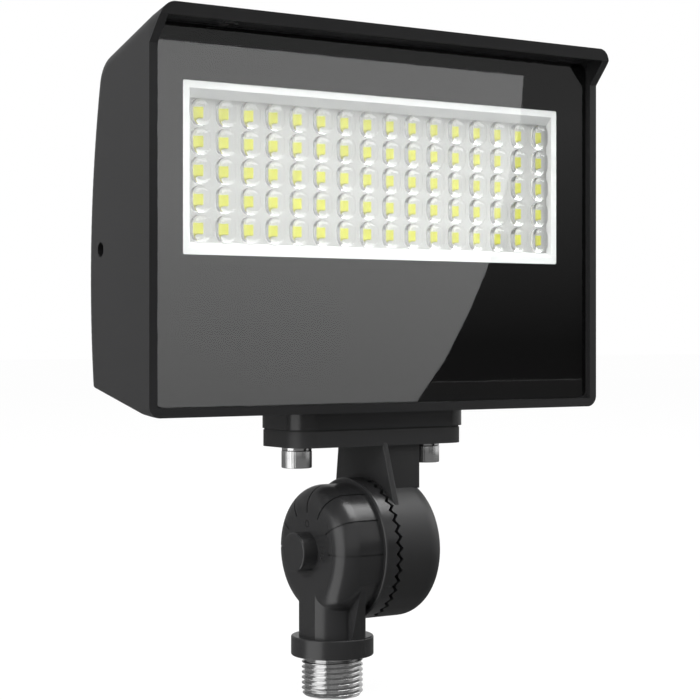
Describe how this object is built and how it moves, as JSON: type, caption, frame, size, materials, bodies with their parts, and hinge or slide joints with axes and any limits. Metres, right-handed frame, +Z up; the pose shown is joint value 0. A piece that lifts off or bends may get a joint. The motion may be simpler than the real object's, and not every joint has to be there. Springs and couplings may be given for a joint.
{
  "type": "LED flood light with knuckle mount",
  "caption": "Black cast flood light: glazed lamp head with hood and lens window, bolted to a toothed tilting knuckle on a threaded pipe nipple.",
  "frame": {"origin": "centre of the threaded nipple's lower end", "axes": "+Z up along the nipple, the glass faces -Y, +X is to the right seen from the front, the tilt axis runs along X"},
  "size_m": [0.1874, 0.0611, 0.2306],
  "materials": {
    "black_powder_coat": "satin",
    "clear_glass": "polished",
    "black_ceramic": "gloss",
    "grey_silicone": "matte",
    "white_plastic": "satin",
    "clear_lens": "polished",
    "yellow_phosphor": "matte",
    "white_board": "matte",
    "bare_aluminium": "satin",
    "zinc_steel": "satin",
    "lead_insulation": "satin",
    "green_board": "satin",
    "dark_plastic": "matte",
    "black_rubber": "matte"
  },
  "bodies": {
    "knuckle_base": {"knuckle_hub": "black_powder_coat", "pivot_oring": "black_rubber", "pivot_bolt": "zinc_steel", "pivot_washer": "zinc_steel", "nipple": "zinc_steel", "nipple_grub_screw": "zinc_steel"},
    "head": {"housing": "black_powder_coat", "front_glass": "clear_glass", "glass_print": "black_ceramic", "glass_seal": "grey_silicone", "window_frame": "white_plastic", "lens_array": "clear_lens", "diodes": "yellow_phosphor", "diode_board": "white_board", "thermal_pad": "grey_silicone", "heat_spreader": "bare_aluminium", "spreader_screws": "zinc_steel", "board_screws": "zinc_steel", "board_connector": "white_plastic", "driver_leads": "lead_insulation", "driver_case": "bare_aluminium", "driver_cover": "bare_aluminium", "driver_board": "green_board", "driver_transformer": "dark_plastic", "driver_capacitors": "dark_plastic", "driver_screws": "zinc_steel", "terminal_block": "dark_plastic", "foot_gasket": "black_rubber", "knuckle_arm": "black_powder_coat", "mounting_bolts": "zinc_steel", "lock_washers": "zinc_steel"}
  },
  "joints": [
    {"name": "tilt", "type": "hinge", "parent": "knuckle_base", "child": "head", "pos_m": [0, 0, 0.0506], "axis": [1, 0, 0], "range_deg": [-90, 90]}
  ]
}
